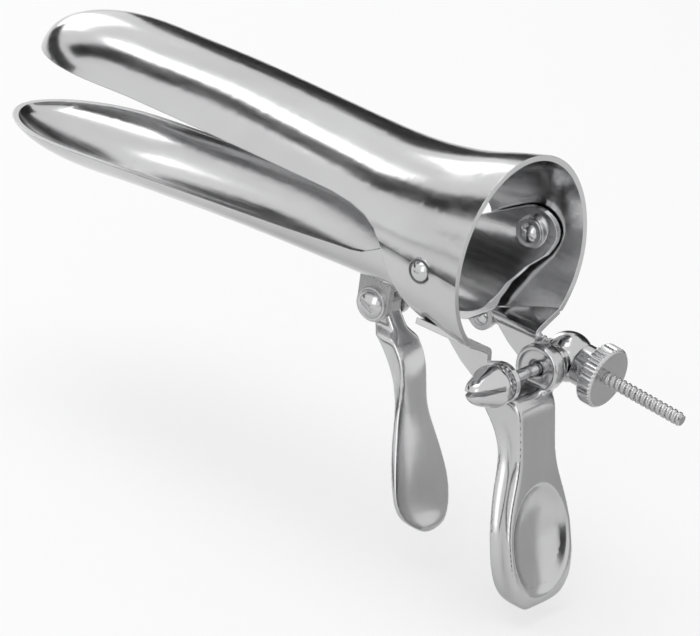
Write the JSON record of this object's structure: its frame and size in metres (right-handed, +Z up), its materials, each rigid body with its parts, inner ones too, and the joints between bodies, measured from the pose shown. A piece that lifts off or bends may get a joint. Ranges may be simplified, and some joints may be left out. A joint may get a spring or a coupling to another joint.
{
  "type": "bivalve_speculum",
  "caption": "Polished steel bivalve speculum with a ring mouth, duck-bill blades, a side thumb screw, a folding front lever and a dished thumb handle",
  "frame": {"origin": "Middle of the blade pivot axis, halfway between the two rivets", "axes": "+X to the operator's right along the pivot axis, +Y along the blades towards their tips, +Z up through the ring's top"},
  "size_m": [0.043, 0.1609, 0.0902],
  "materials": {
    "polished_steel": "mirror polished stainless steel",
    "satin_steel": "satin stainless steel"
  },
  "bodies": {
    "ring_frame": {"upper_blade": "polished_steel", "left_rivet": "polished_steel", "right_rivet": "polished_steel", "left_rivet_washer": "polished_steel", "right_rivet_washer": "polished_steel", "cross_screw": "polished_steel", "head_collar": "polished_steel", "inner_washer": "polished_steel", "eye_collar": "polished_steel"},
    "swivel": {"swivel_eye": "polished_steel"},
    "lower_frame": {"lower_blade": "polished_steel", "rod_bracket": "satin_steel", "rod_pin": "polished_steel", "lever_bracket": "satin_steel", "lever_screw": "polished_steel", "lever_washer": "polished_steel"},
    "lever": {"finger_lever": "polished_steel"},
    "rod": {"threaded_rod": "satin_steel"},
    "collar": {"thrust_collar": "polished_steel"},
    "nut": {"thumb_nut": "satin_steel"},
    "handle": {"thumb_handle": "polished_steel"}
  },
  "joints": [
    {"name": "blade_pivot", "type": "hinge", "parent": "ring_frame", "child": "lower_frame", "pos_m": [0, 0, 0], "axis": [1, 0, 0], "range_deg": [-15, 7.5]},
    {"name": "eye_swivel", "type": "hinge", "parent": "ring_frame", "child": "swivel", "pos_m": [0.0145, -0.015, -0.0206], "axis": [1, 0, 0], "range_deg": [-3, 2]},
    {"name": "rod_pivot", "type": "hinge", "parent": "lower_frame", "child": "rod", "pos_m": [0.0145, 0.00475, -0.01891], "axis": [1, 0, 0], "range_deg": [-9, 15]},
    {"name": "collar_slide", "type": "slide", "parent": "rod", "child": "collar", "axis": [0, -0.9963, -0.0854], "range_m": [-0.006, 0.004]},
    {"name": "nut_spin", "type": "hinge", "parent": "collar", "child": "nut", "pos_m": [0.0145, 0.00475, -0.01891], "axis": [0, -0.9963, -0.0854], "range_deg": [-900, 1600]},
    {"name": "lever_fold", "type": "hinge", "parent": "lower_frame", "child": "lever", "pos_m": [0, 0.0205, -0.0187], "axis": [1, 0, 0], "range_deg": [0, 80]},
    {"name": "handle_fold", "type": "hinge", "parent": "ring_frame", "child": "handle", "pos_m": [0, -0.015, -0.0206], "axis": [1, 0, 0], "range_deg": [-80, 0]}
  ],
  "couplings": [
    {"joint": "eye_swivel", "follows": "blade_pivot", "ratio": 0.106},
    {"joint": "rod_pivot", "follows": "blade_pivot", "ratio": -0.894},
    {"joint": "collar_slide", "follows": "blade_pivot", "m_per_rad": 0.0193},
    {"joint": "nut_spin", "follows": "blade_pivot", "ratio": -97}
  ]
}
